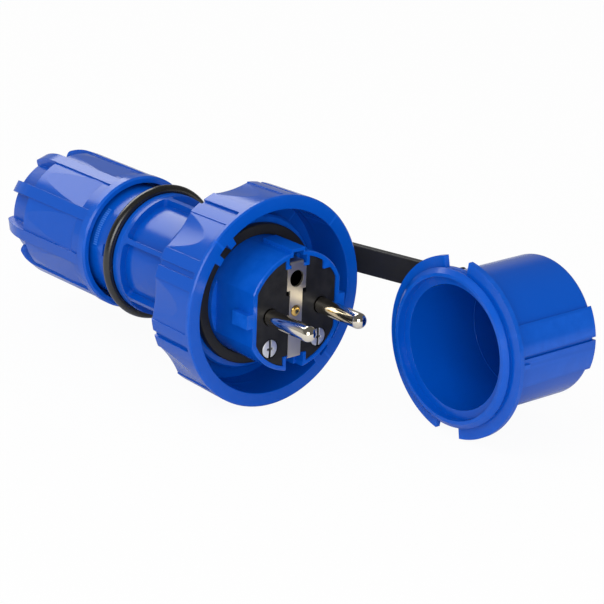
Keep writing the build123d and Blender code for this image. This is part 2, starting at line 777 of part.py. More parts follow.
# Clamping cage with claws, which the sleeve pushes towards the housing
with BuildPart() as clamp_cage:
    claw_outer = neck_bore - 2 * SLIP
    turned(
        (cage_front, cage_bore),
        (cage_front, claw_outer),
        (cage_rear + cage_flange, claw_outer),
        (cage_rear + cage_flange, sleeve_chamber - SLIP),
        (cage_rear, sleeve_chamber - SLIP),
        (cage_rear, cage_bore),
    )
    with BuildSketch(across(cage_front)):
        with PolarLocations(0, claw_count // 2, angular_range=180):
            Rectangle(2 * claw_outer + 2, claw_slot)
    extrude(amount=(cage_rear - cage_front) * 0.7, mode=Mode.SUBTRACT)
clamp_cage.part.label = "clamp_cage"
export_step(clamp_cage.part, "parts/clamp_cage.step")

# Rubber seal round the cable
with BuildPart() as cable_seal:
    turned(
        (cage_rear, seal_bore),
        (cage_rear + seal_length, seal_bore),
        (cage_rear + seal_length, cage_bore - SLIP - 1),
        (cage_rear + seal_length - 1, cage_bore - SLIP),
        (cage_rear, cage_bore - SLIP),
    )
cable_seal.part.label = "cable_seal"
export_step(cable_seal.part, "parts/cable_seal.step")

# Slip washer between the turning sleeve and the cage
with BuildPart() as slip_washer:
    turned(
        (cage_rear, cable_hole),
        (cage_rear, sleeve_chamber - SLIP),
        (cage_rear - washer_thickness, sleeve_chamber - SLIP),
        (cage_rear - washer_thickness, cable_hole),
    )
slip_washer.part.label = "slip_washer"
export_step(slip_washer.part, "parts/slip_washer.step")

# Eye of the strap round the housing, with the short tail that the strap flexes on
with BuildPart() as strap_eye:
    tail_y = flex_y - strap_thickness / 2 - FREE
    with BuildSketch(across(eye_x - strap_thickness / 2)):
        Circle(eye_outer)
        with Locations((tail_y / 2, strap_z)):
            Rectangle(tail_y, strap_width)
        Circle(eye_inner, mode=Mode.SUBTRACT)
    extrude(amount=strap_thickness)
strap_eye.part.label = "strap_eye"
export_step(strap_eye.part, "parts/strap_eye.step")

# Strap from its eye round the coupling ring to the saddle on the cap
lean = math.radians(strap_angle)
corner_y = (strap_offset + eye_x * math.sin(lean)) / math.cos(lean)
saddle_y = (strap_offset + (cap_x - cap_radius) * math.sin(lean)) / math.cos(lean)
saddle_inner = cap_radius + SLIP
saddle_middle = saddle_y - saddle_back
with BuildPart() as strap:
    with BuildSketch(Plane.XY.offset(strap_z - strap_width / 2)):
        with BuildLine():
            FilletPolyline(
                (eye_x, flex_y),
                (eye_x, corner_y),
                (cap_x - saddle_inner - saddle_wall / 2, saddle_y),
                radius=strap_bend,
            )
            offset(amount=strap_thickness / 2)
        make_face()
    extrude(amount=strap_width)
    middle = saddle_from + saddle_sweep / 2
    saddle = sector(cap_plane(saddle_middle + saddle_width / 2), saddle_inner, saddle_inner + saddle_wall,
                    middle, saddle_sweep)
    extrude(saddle, amount=saddle_width)
    with BuildSketch(cap_plane(saddle_middle + saddle_width)):
        Circle(saddle_inner)
    extrude(amount=2 * saddle_width, mode=Mode.SUBTRACT)
strap.part.label = "strap"
export_step(strap.part, "parts/strap.step")

# Cap
with BuildPart() as cap:
    cap_axis = Axis((cap_x, cap_mouth_y, cap_z), (0, 1, 0))
    section = Plane(origin=(cap_x, cap_mouth_y, cap_z), x_dir=(1, 0, 0), z_dir=(0, 0, 1))
    flange_to = cap_flange_from + cap_flange_thickness
    with BuildSketch(section):
        with BuildLine():
            Polyline(
                (0, cap_length),
                (cap_radius, cap_length),
                (cap_radius, flange_to),
                (cap_flange_radius, flange_to),
                (cap_flange_radius, cap_flange_from),
                (cap_rim_radius - 0.2, cap_flange_from),
                (cap_rim_radius, cap_rim_round * 0.85),
                (cap_face_radius, 0),
                (cap_seat_radius + 0.2, 0),
                (cap_seat_radius, cap_seat_depth),
                (cap_bore, cap_seat_depth),
                (cap_bore, cap_length - cap_floor),
                (0, cap_length - cap_floor),
                close=True,
            )
        make_face()
    revolve(axis=cap_axis)
    fillet(cap.edges().group_by(Axis.Y)[-1], cap_edge)
    for place in lobe_gap_places:
        gap = sector(cap_plane(cap_mouth_y + flange_to), cap_rim_radius, cap_flange_radius + 1, place, lobe_gap)
        extrude(gap, amount=cap_flange_thickness, mode=Mode.SUBTRACT)
    with BuildSketch(cap_plane(cap_mouth_y + flange_to)):
        Circle(cap_flange_radius + 1)
        with Locations((cap_flange_shift, 0)):
            Circle(cap_flange_radius, mode=Mode.SUBTRACT)
    extrude(amount=cap_flange_thickness, mode=Mode.SUBTRACT)
    pad_rear = cap_bottom_y - cap_pad_end
    for start, stop in cap_pads:
        pad = sector(cap_plane(pad_rear), cap_radius - 1, cap_radius + cap_pad_proud,
                     (start + stop) / 2, stop - start)
        extrude(pad, amount=pad_rear - cap_mouth_y - cap_pad_from)
    stop_rear = cap_mouth_y + cap_pad_from + stop_length
    stop_block = sector(cap_plane(stop_rear), cap_radius - 1, cap_radius + cap_pad_proud + stop_proud,
                        stop_place, stop_angle)
    extrude(stop_block, amount=stop_length)
cap.part.label = "cap"
export_step(cap.part, "parts/cap.step")
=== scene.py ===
"""Looks of a waterproof mains plug with a bayonet ring, a gland sleeve and a tethered cap.

Lengths in the dataclasses are millimetres, as on the plug's drawing, and become metres when a
mesh is made. The origin is the middle of the contact face, +X runs to the pin tips, +Y along the
line of the pins and +Z is up.
"""

import logging
import math
from dataclasses import dataclass, field
from enum import Enum

import bmesh
import bpy
import numpy as np
from mathutils import Matrix, Vector

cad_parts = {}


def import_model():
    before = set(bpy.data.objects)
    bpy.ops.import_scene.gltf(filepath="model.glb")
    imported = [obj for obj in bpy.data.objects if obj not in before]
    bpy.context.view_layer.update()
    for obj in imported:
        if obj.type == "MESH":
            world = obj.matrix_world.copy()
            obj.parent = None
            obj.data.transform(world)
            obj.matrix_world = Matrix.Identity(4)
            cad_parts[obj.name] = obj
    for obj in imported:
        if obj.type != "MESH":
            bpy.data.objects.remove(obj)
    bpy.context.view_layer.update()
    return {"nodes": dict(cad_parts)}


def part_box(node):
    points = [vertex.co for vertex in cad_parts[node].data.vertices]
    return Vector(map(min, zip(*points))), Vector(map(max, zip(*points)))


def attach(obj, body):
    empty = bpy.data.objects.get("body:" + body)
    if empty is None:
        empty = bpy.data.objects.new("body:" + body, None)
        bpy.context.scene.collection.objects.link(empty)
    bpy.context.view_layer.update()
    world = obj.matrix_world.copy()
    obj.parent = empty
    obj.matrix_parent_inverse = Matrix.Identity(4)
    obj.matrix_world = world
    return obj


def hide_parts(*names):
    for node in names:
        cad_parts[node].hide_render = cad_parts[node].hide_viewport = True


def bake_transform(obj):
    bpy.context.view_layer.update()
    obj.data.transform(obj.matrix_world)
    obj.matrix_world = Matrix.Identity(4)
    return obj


MM = 0.001
DOUBLES = 1e-7  # points closer than this, in metres, are merged
log = logging.getLogger("plug")

Colour = tuple[float, float, float]
Grid = np.ndarray


class Body(Enum):
    """Rigid bodies of the plug that carry a piece made here."""

    HOUSING = "housing"
    RING = "ring"
    EYE = "eye"
    CAP = "tethered_cap"


# Surfaces


@dataclass
class Shell:
    """Closed surface: points in millimetres and faces of point numbers."""

    points: Grid
    faces: list[list[int]]

    def __add__(self, other: "Shell") -> "Shell":
        """Both shells in one, the other's point numbers counted on from this one's."""
        shift = len(self.points)
        moved = [[corner + shift for corner in face] for face in other.faces]
        return Shell(np.vstack([self.points, other.points]), self.faces + moved)


def polar(radius: Grid, angle: Grid) -> tuple[Grid, Grid]:
    """Cartesian pair of a radius and an angle in degrees: r cos a and r sin a.

    Args:
        radius: Radii, in any shape that broadcasts with the angles.
        angle: Angles in degrees.

    Returns:
        The first and the second coordinate.
    """
    turn = np.radians(angle)
    return radius * np.cos(turn), radius * np.sin(turn)


def grid_faces(rows: int, columns: int, close_rows: bool) -> list[list[int]]:
    """Quads of a grid of points, counted row by row, each row a closed loop.

    Args:
        rows: Number of rows of points.
        columns: Number of points in a row.
        close_rows: Whether the last row joins the first.

    Returns:
        The quads, four point numbers each.
    """
    i = np.arange(rows if close_rows else rows - 1)[:, None]
    j = np.arange(columns)[None, :]
    below, right = (i + 1) % rows, (j + 1) % columns
    corners = [i * columns + j, below * columns + j, below * columns + right, i * columns + right]
    return np.stack([np.broadcast_to(c, (i.size, j.size)) for c in corners], -1).reshape(-1, 4).tolist()


def loft(loops: Grid) -> Shell:
    """Closed tube through a stack of loops, with a flat face on its first and on its last loop.

    Args:
        loops: Points as rows of loops, three values each.

    Returns:
        The shell.
    """
    rows, columns, _ = loops.shape
    faces = grid_faces(rows, columns, close_rows=False)
    first = list(range(columns))
    last = [(rows - 1) * columns + number for number in range(columns)]
    return Shell(loops.reshape(-1, 3), faces + [first[::-1], last])


def turned(section: Grid, steps: int) -> Shell:
    """Ring or solid that a closed section makes as it turns about the plug's axis.

    A point (x, r) of the section at angle a lies at (x, r cos a, r sin a).

    Args:
        section: Points of (x, radius), going round the section.
        steps: Number of places round the axis.

    Returns:
        The shell.
    """
    angle = np.arange(steps)[:, None] * 360.0 / steps
    y, z = polar(section[None, :, 1], angle)
    x = np.broadcast_to(section[None, :, 0], y.shape)
    return Shell(np.stack([x, y, z], -1).reshape(-1, 3), grid_faces(steps, len(section), close_rows=True))


def rounded_section(width: float, height: float, corner: float, steps: int = 6) -> Grid:
    """Rectangle about the origin with rounded corners.

    A corner's points are its centre plus the corner radius times (cos a, sin a), with a over a
    quarter turn.

    Args:
        width: Size along the first value.
        height: Size along the second value.
        corner: Radius of the corners.
        steps: Points on each corner.

    Returns:
        Points in order round the section, two values each.
    """
    quarter = np.linspace(0, 90, steps)
    signs = np.array([(1, 1), (-1, 1), (-1, -1), (1, -1)])
    centres = signs * (width / 2 - corner, height / 2 - corner)
    angles = quarter[None, :] + np.arange(4)[:, None] * 90
    across, along = polar(corner, angles)
    return (np.stack([across, along], -1) + centres[:, None, :]).reshape(-1, 2)


def smooth_step(value: Grid, start: float, stop: float) -> Grid:
    """Smooth rise from 0 at start to 1 at stop: 3 t squared minus 2 t cubed.

    Args:
        value: Values, in any shape.
        start: Value at which the rise starts.
        stop: Value at which it ends.

    Returns:
        Shares between 0 and 1.
    """
    t = np.clip((value - start) / (stop - start), 0, 1)
    return t * t * (3 - 2 * t)


def make_piece(name: str, shell: Shell, material: bpy.types.Material, body: Body,
               smooth_angle: float = 40.0) -> bpy.types.Object:
    """Piece at the origin from a closed shell, its doubles merged and its normals outwards.

    Args:
        name: Name of the piece.
        shell: Its surface.
        material: Finish of the whole piece.
        body: Body that it belongs to.
        smooth_angle: Edges sharper than this angle in degrees stay sharp.

    Returns:
        The object, linked to the scene. It doesn't ride on its body yet.
    """
    mesh = bpy.data.meshes.new(name)
    mesh.from_pydata((shell.points * MM).tolist(), [], shell.faces)
    merged = bmesh.new()
    merged.from_mesh(mesh)
    bmesh.ops.remove_doubles(merged, verts=merged.verts, dist=DOUBLES)
    bmesh.ops.recalc_face_normals(merged, faces=merged.faces)
    merged.to_mesh(mesh)
    merged.free()
    mesh.materials.append(material)
    mesh.polygons.foreach_set("use_smooth", np.ones(len(mesh.polygons), bool))
    mesh.set_sharp_from_angle(angle=math.radians(smooth_angle))
    piece = bpy.data.objects.new(name, mesh)
    bpy.context.scene.collection.objects.link(piece)
    log.info("%s: %d faces on %s", name, len(mesh.polygons), body.value)
    return piece


# Shader groups


class Nodes:
    """A small helper that adds nodes to a tree and joins them by socket name."""

    def __init__(self, tree: bpy.types.NodeTree) -> None:
        """Starts on an empty tree.

        Args:
            tree: Node tree of a material, a world or a group.
        """
        self.tree = tree
        self.tree.nodes.clear()

    def add(self, kind: str, values: dict | None = None, **settings: object) -> bpy.types.Node:
        """Adds a node.

        Args:
            kind: Blender's name of the node type, without its ShaderNode prefix.
            values: Values of its input sockets.
            settings: Values of its own properties.

        Returns:
            The node.
        """
        prefix = "" if kind.startswith("NodeGroup") else "ShaderNode"
        node = self.tree.nodes.new(prefix + kind)
        for key, value in settings.items():
            setattr(node, key, value)
        for socket, value in (values or {}).items():
            node.inputs[socket].default_value = value
        return node

    def join(self, start: bpy.types.Node, output: str | int,
             end: bpy.types.Node, socket: str | int) -> None:
        """Joins an output socket to an input socket."""
        self.tree.links.new(start.outputs[output], end.inputs[socket])


def group_with(name: str, inputs: dict[str, float], outputs: list[str]) -> tuple[bpy.types.NodeTree, Nodes]:
    """Shader node group with named float sockets.

    Args:
        name: Name of the group.
        inputs: Names and default values of the inputs.
        outputs: Names of the outputs.

    Returns:
        The group and the helper that fills it.
    """
    group = bpy.data.node_groups.new(name, "ShaderNodeTree")
    for key, value in inputs.items():
        socket = group.interface.new_socket(name=key, in_out="INPUT", socket_type="NodeSocketFloat")
        socket.default_value = value
    for key in outputs:
        group.interface.new_socket(name=key, in_out="OUTPUT", socket_type="NodeSocketFloat")
    return group, Nodes(group)


@dataclass
class Effects:
    """Surface effects that several finishes share, each built once as a node group."""

    built: dict[str, bpy.types.NodeTree] = field(default_factory=dict)

    def mould_grain(self) -> bpy.types.NodeTree:
        """Fine grain of a moulded surface: noise at a fine scale plus slow unevenness."""
        if "mould_grain" not in self.built:
            inputs = {"Scale": 2500.0, "Slow Scale": 60.0, "Slow Share": 0.4}
            group, nodes = group_with("mould_grain", inputs, ["Height", "Variation"])
            given = nodes.add("NodeGroupInput")
            place = nodes.add("TexCoord")
            fine = nodes.add("TexNoise", {"Detail": 2.0, "Roughness": 0.5})
            slow = nodes.add("TexNoise", {"Detail": 3.0, "Roughness": 0.6})
            mix = nodes.add("Mix")
            result = nodes.add("NodeGroupOutput")
            nodes.join(place, "Object", fine, "Vector")
            nodes.join(place, "Object", slow, "Vector")
            nodes.join(given, "Scale", fine, "Scale")
            nodes.join(given, "Slow Scale", slow, "Scale")
            nodes.join(given, "Slow Share", mix, 0)
            nodes.join(fine, 0, mix, 2)
            nodes.join(slow, 0, mix, 3)
            nodes.join(mix, 0, result, "Height")
            nodes.join(slow, 0, result, "Variation")
            self.built["mould_grain"] = group
        return self.built["mould_grain"]

    def painted_edge_highlight(self) -> bpy.types.NodeTree:
        """Mask of the painted highlight on convex edges: the mesh's pointiness, raised and broken up by
        noise.
        """
        if "painted_edge_highlight" not in self.built:
            inputs = {"Start": 0.52, "End": 0.62, "Breakup": 300.0}
            group, nodes = group_with("painted_edge_highlight", inputs, ["Mask"])
            given = nodes.add("NodeGroupInput")
            shape = nodes.add("NewGeometry")
            place = nodes.add("TexCoord")
            noise = nodes.add("TexNoise", {"Detail": 3.0})
            limits = {"From Min": 0.35, "From Max": 0.65, "To Min": 0.4, "To Max": 1.0}
            spread = nodes.add("MapRange", limits)
            edge = nodes.add("MapRange")
            product = nodes.add("Math", operation="MULTIPLY")
            result = nodes.add("NodeGroupOutput")
            nodes.join(shape, "Pointiness", edge, "Value")
            nodes.join(given, "Start", edge, "From Min")
            nodes.join(given, "End", edge, "From Max")
            nodes.join(place, "Object", noise, "Vector")
            nodes.join(given, "Breakup", noise, "Scale")
            nodes.join(noise, 0, spread, "Value")
            nodes.join(edge, 0, product, 0)
            nodes.join(spread, 0, product, 1)
            nodes.join(product, 0, result, "Mask")
            self.built["painted_edge_highlight"] = group
        return self.built["painted_edge_highlight"]

    def drawn_lines(self) -> bpy.types.NodeTree:
        """Fine lines of drawn or rolled metal: noise stretched along one axis."""
        if "drawn_lines" not in self.built:
            inputs = {"Along X": 20.0, "Along Y": 2500.0, "Along Z": 2500.0}
            group, nodes = group_with("drawn_lines", inputs, ["Height", "Variation"])
            given = nodes.add("NodeGroupInput")
            place = nodes.add("TexCoord")
            scale = nodes.add("CombineXYZ")
            stretch = nodes.add("VectorMath", operation="MULTIPLY")
            lines = nodes.add("TexNoise", {"Scale": 1.0, "Detail": 4.0, "Roughness": 0.6})
            slow = nodes.add("TexNoise", {"Scale": 150.0, "Detail": 2.0})
            result = nodes.add("NodeGroupOutput")
            for axis in "XYZ":
                nodes.join(given, f"Along {axis}", scale, axis)
            nodes.join(place, "Object", stretch, 0)
            nodes.join(scale, 0, stretch, 1)
            nodes.join(stretch, 0, lines, "Vector")
            nodes.join(place, "Object", slow, "Vector")
            nodes.join(lines, 0, result, "Height")
            nodes.join(slow, 0, result, "Variation")
            self.built["drawn_lines"] = group
        return self.built["drawn_lines"]


EFFECTS = Effects()


def empty_material(name: str) -> tuple[bpy.types.Material, Nodes, bpy.types.Node]:
    """Material that holds one Principled shader.

    Args:
        name: Name of the material.

    Returns:
        The material, the helper that fills its tree, and the shader.
    """
    material = bpy.data.materials.new(name)
    material.use_nodes = True
    nodes = Nodes(material.node_tree)
    shader = nodes.add("BsdfPrincipled")
    output = nodes.add("OutputMaterial")
    nodes.join(shader, "BSDF", output, "Surface")
    return material, nodes, shader


# Finishes


@dataclass(frozen=True)
class Plastic:
    """Moulded plastic: an even colour, a satin gloss and a painted highlight along convex edges."""

    name: str
    colour: Colour
    # colour of the painted highlight mixed in along convex edges
    light: Colour
    roughness: float = 0.19
    specular: float = 0.3
    grain: float = 0.02
    grain_scale: float = 2600.0
    slow_scale: float = 45.0
    grain_height: float = 0.05
    shade: float = 0.94  # share of the colour that its darkest places keep
    duller: float = 0.04  # how far the roughness rises above its own value
    glossier: float = 0.03  # how far it falls below
    round_edge: float = 0.15

    def build(self) -> bpy.types.Material:
        """Material with colour variation, a painted edge highlight, roughness variation and grain.

        Returns:
            The material.
        """
        material, nodes, shader = empty_material(self.name)
        shader.inputs["Specular IOR Level"].default_value = self.specular
        grain = nodes.add("Group", node_tree=EFFECTS.mould_grain())
        grain.inputs["Scale"].default_value = self.grain_scale
        grain.inputs["Slow Scale"].default_value = self.slow_scale
        # painted highlight: where the edge mask is high, the colour is lightened towards the light colour
        edges = nodes.add("Group", node_tree=EFFECTS.painted_edge_highlight())
        dark = tuple(self.shade * c for c in self.colour)
        ramp = nodes.add("Mix", data_type="RGBA")
        ramp.inputs[6].default_value = (*dark, 1)
        ramp.inputs[7].default_value = (*self.colour, 1)
        edge = nodes.add("Mix", data_type="RGBA")
        edge.inputs[7].default_value = (*self.light, 1)
        limits = {"To Min": self.roughness - self.glossier, "To Max": self.roughness + self.duller}
        rough = nodes.add("MapRange", limits)
        rounding = nodes.add("Bevel", {"Radius": self.round_edge * MM}, samples=4)
        bump = nodes.add("Bump", {"Strength": self.grain, "Distance": self.grain_height * MM})
        nodes.join(grain, "Variation", ramp, 0)
        nodes.join(ramp, 2, edge, 6)
        nodes.join(edges, "Mask", edge, 0)
        nodes.join(edge, 2, shader, "Base Color")
        nodes.join(grain, "Variation", rough, "Value")
        nodes.join(rough, 0, shader, "Roughness")
        nodes.join(grain, "Height", bump, "Height")
        nodes.join(rounding, 0, bump, "Normal")
        nodes.join(bump, 0, shader, "Normal")
        return material


@dataclass(frozen=True)
class Rubber:
    """Moulded rubber: near black, matt, with a fine dull grain and a little dust."""

    name: str
    colour: Colour = (0.013, 0.013, 0.014)
    dust: Colour = (0.03, 0.029, 0.028)
    roughness: float = 0.5
    specular: float = 0.35
    grain: float = 0.15
    grain_scale: float = 1800.0
    slow_scale: float = 120.0
    grain_height: float = 0.08
    dust_share: float = 0.5
    duller: float = 0.1
    glossier: float = 0.08

    def build(self) -> bpy.types.Material:
        """Material with a dusty colour mix and a rough, grained surface.

        Returns:
            The material.
        """
        material, nodes, shader = empty_material(self.name)
        shader.inputs["Specular IOR Level"].default_value = self.specular
        grain = nodes.add("Group", node_tree=EFFECTS.mould_grain())
        grain.inputs["Scale"].default_value = self.grain_scale
        grain.inputs["Slow Scale"].default_value = self.slow_scale
        dust = nodes.add("Mix", data_type="RGBA")
        dust.inputs[6].default_value = (*self.colour, 1)
        dust.inputs[7].default_value = (*self.dust, 1)
        share = nodes.add("MapRange", {"From Min": 0.45, "From Max": 0.8, "To Max": self.dust_share})
        limits = {"To Min": self.roughness - self.glossier, "To Max": self.roughness + self.duller}
        rough = nodes.add("MapRange", limits)
        bump = nodes.add("Bump", {"Strength": self.grain, "Distance": self.grain_height * MM})
        nodes.join(grain, "Variation", share, "Value")
        nodes.join(share, 0, dust, 0)
        nodes.join(dust, 2, shader, "Base Color")
        nodes.join(grain, "Variation", rough, "Value")
        nodes.join(rough, 0, shader, "Roughness")
        nodes.join(grain, "Height", bump, "Height")
        nodes.join(bump, 0, shader, "Normal")
        return material


@dataclass(frozen=True)
class Metal:
    """Bare or plated metal with the fine lines that drawing, rolling or turning leaves."""

    name: str
    colour: Colour
    roughness: float = 0.2
    lines: tuple[float, float, float] = (20.0, 2500.0, 2500.0)
    depth: float = 0.1
    line_height: float = 0.03
    gloss_change: float = 0.01  # how far the lines change the roughness, either way
    tarnish: Colour = (0.3, 0.27, 0.22)
    tarnish_share: float = 0.15
    round_edge: float = 0.12
    painted_shade_from: float | None = None  # place along the axis behind which the colour darkens: painted shade in a recess
    painted_shade_fade: float = 0.15
    # colour of the painted shade in a recess
    painted_shade: Colour = (0.16, 0.16, 0.16)

    def build(self) -> bpy.types.Material:
        """Material with drawn lines in its height and gloss, tarnish, and painted shade in a recess.

        Returns:
            The material.
        """
        material, nodes, shader = empty_material(self.name)
        shader.inputs["Metallic"].default_value = 1.0
        lines = nodes.add("Group", node_tree=EFFECTS.drawn_lines())
        for axis, value in zip("XYZ", self.lines):
            lines.inputs[f"Along {axis}"].default_value = value
        colour = nodes.add("Mix", data_type="RGBA")
        colour.inputs[6].default_value = (*self.colour, 1)
        colour.inputs[7].default_value = (*self.tarnish, 1)
        share = nodes.add("MapRange", {"From Min": 0.5, "From Max": 0.8, "To Max": self.tarnish_share})
        limits = {"To Min": self.roughness - self.gloss_change, "To Max": self.roughness + self.gloss_change}
        rough = nodes.add("MapRange", limits)
        rounding = nodes.add("Bevel", {"Radius": self.round_edge * MM}, samples=4)
        bump = nodes.add("Bump", {"Strength": self.depth, "Distance": self.line_height * MM})
        nodes.join(lines, "Variation", share, "Value")
        nodes.join(share, 0, colour, 0)
        # painted shade: behind the given place along the axis, the colour darkens towards the shade colour
        if self.painted_shade_from is not None:
            place = nodes.add("TexCoord")
            axes = nodes.add("SeparateXYZ")
            full = self.painted_shade_from - self.painted_shade_fade
            deep = nodes.add("MapRange", {"From Min": self.painted_shade_from * MM, "From Max": full * MM})
            shaded_colour = nodes.add("Mix", data_type="RGBA")
            shaded_colour.inputs[7].default_value = (*self.painted_shade, 1)
            nodes.join(place, "Object", axes, 0)
            nodes.join(axes, "X", deep, "Value")
            nodes.join(deep, 0, shaded_colour, 0)
            nodes.join(colour, 2, shaded_colour, 6)
            colour = shaded_colour
        nodes.join(colour, 2, shader, "Base Color")
        nodes.join(lines, "Height", rough, "Value")
        nodes.join(rough, 0, shader, "Roughness")
        nodes.join(lines, "Height", bump, "Height")
        nodes.join(rounding, 0, bump, "Normal")
        nodes.join(bump, 0, shader, "Normal")
        return material


BLUE: Colour = (0.0004, 0.08, 0.49)
# lighter blue of the painted edge highlight
BLUE_EDGE_HIGHLIGHT: Colour = (0.006, 0.11, 0.6)
# lighter copy of the blue for the neck's teeth, a painted highlight, with its own painted edge highlight
TEETH_HIGHLIGHT_BLUE: Colour = (0.03, 0.17, 0.66)
TEETH_HIGHLIGHT_EDGE_BLUE: Colour = (0.06, 0.22, 0.75)
ALL_WAYS: tuple[float, float, float] = (900.0, 900.0, 900.0)  # metal with lines alike along each axis


@dataclass
class Finishes:
    """Every finish of the plug, built once and kept by name."""

    blue: bpy.types.Material = field(init=False)
    highlight_blue: bpy.types.Material = field(init=False)
    black_face: bpy.types.Material = field(init=False)
    grey: bpy.types.Material = field(init=False)
    rubber: bpy.types.Material = field(init=False)
    seal: bpy.types.Material = field(init=False)
    strap: bpy.types.Material = field(init=False)
    pin: bpy.types.Material = field(init=False)
    strip: bpy.types.Material = field(init=False)
    socket: bpy.types.Material = field(init=False)
    zinc: bpy.types.Material = field(init=False)
    brass: bpy.types.Material = field(init=False)
    spring: bpy.types.Material = field(init=False)

    def __post_init__(self) -> None:
        """Builds the materials."""
        # each plastic's second colour is its painted edge highlight
        self.blue = Plastic("blue_polyamide", BLUE, BLUE_EDGE_HIGHLIGHT).build()
        # lighter blue for the teeth: painted highlight
        self.highlight_blue = Plastic("highlight_blue_polyamide", TEETH_HIGHLIGHT_BLUE, TEETH_HIGHLIGHT_EDGE_BLUE).build()
        self.black_face = Plastic("black_face_moulding", (0.006, 0.006, 0.008), (0.02, 0.02, 0.022),
                                  roughness=0.42, specular=0.2, grain=0.1).build()
        self.grey = Plastic("grey_clamp_nylon", (0.2, 0.2, 0.21), (0.3, 0.3, 0.31), roughness=0.5).build()
        self.rubber = Rubber("gasket_rubber").build()
        self.seal = Rubber("seal_rubber", (0.009, 0.009, 0.008), (0.026, 0.024, 0.019), roughness=0.24,
                           specular=0.75, grain=0.04).build()
        self.strap = Rubber("strap_rubber", (0.017, 0.017, 0.018), roughness=0.42).build()
        self.pin = Metal("nickel_pin", (0.8, 0.74, 0.62), roughness=0.11, depth=0.002, tarnish_share=0.05,
                         round_edge=0.03).build()
        self.strip = Metal("nickel_earth_strip", (0.74, 0.67, 0.54), roughness=0.34,
                           lines=(500.0, 900.0, 80.0), depth=0.003).build()
        self.socket = Metal("shaded_earth_socket", (0.2, 0.18, 0.15), roughness=0.14, depth=0.02).build()
        # the zinc darkens behind -0.3 mm, in the slot and the cross: painted shade
        self.zinc = Metal("zinc_screw", (0.9, 0.9, 0.89), roughness=0.36, lines=ALL_WAYS, depth=0.006,
                          tarnish_share=0.05, painted_shade_from=-0.3).build()
        self.brass = Metal("brass", (0.72, 0.46, 0.13), lines=ALL_WAYS, depth=0.02).build()
        self.spring = Metal("spring_steel", (0.45, 0.45, 0.46), roughness=0.35).build()

    def dress(self, nodes: dict[str, bpy.types.Object]) -> None:
        """Gives each solid of the frame its finish.

        Args:
            nodes: The frame's nodes by name.
        """
        chosen = {
            "front_housing": self.blue, "coupling_ring": self.blue, "contact_carrier": self.blue,
            "rear_sleeve": self.blue, "cap": self.blue, "ring_retainer": self.spring,
            "face_plate": self.black_face, "earth_strip": self.strip, "earth_socket": self.socket,
            "earth_rivet": self.brass, "pin_left": self.pin, "pin_right": self.pin,
            "face_screws": self.zinc, "line_terminal": self.brass, "neutral_terminal": self.brass,
            "earth_terminal": self.brass, "terminal_screws": self.zinc, "face_gasket": self.rubber,
            "collar_seal": self.seal, "carrier_seal": self.rubber, "clamp_cage": self.grey,
            "cable_seal": self.rubber, "slip_washer": self.grey, "strap_eye": self.strap,
            "strap": self.strap,
        }
        for name, material in chosen.items():
            nodes[name].data.materials.clear()
            nodes[name].data.materials.append(material)


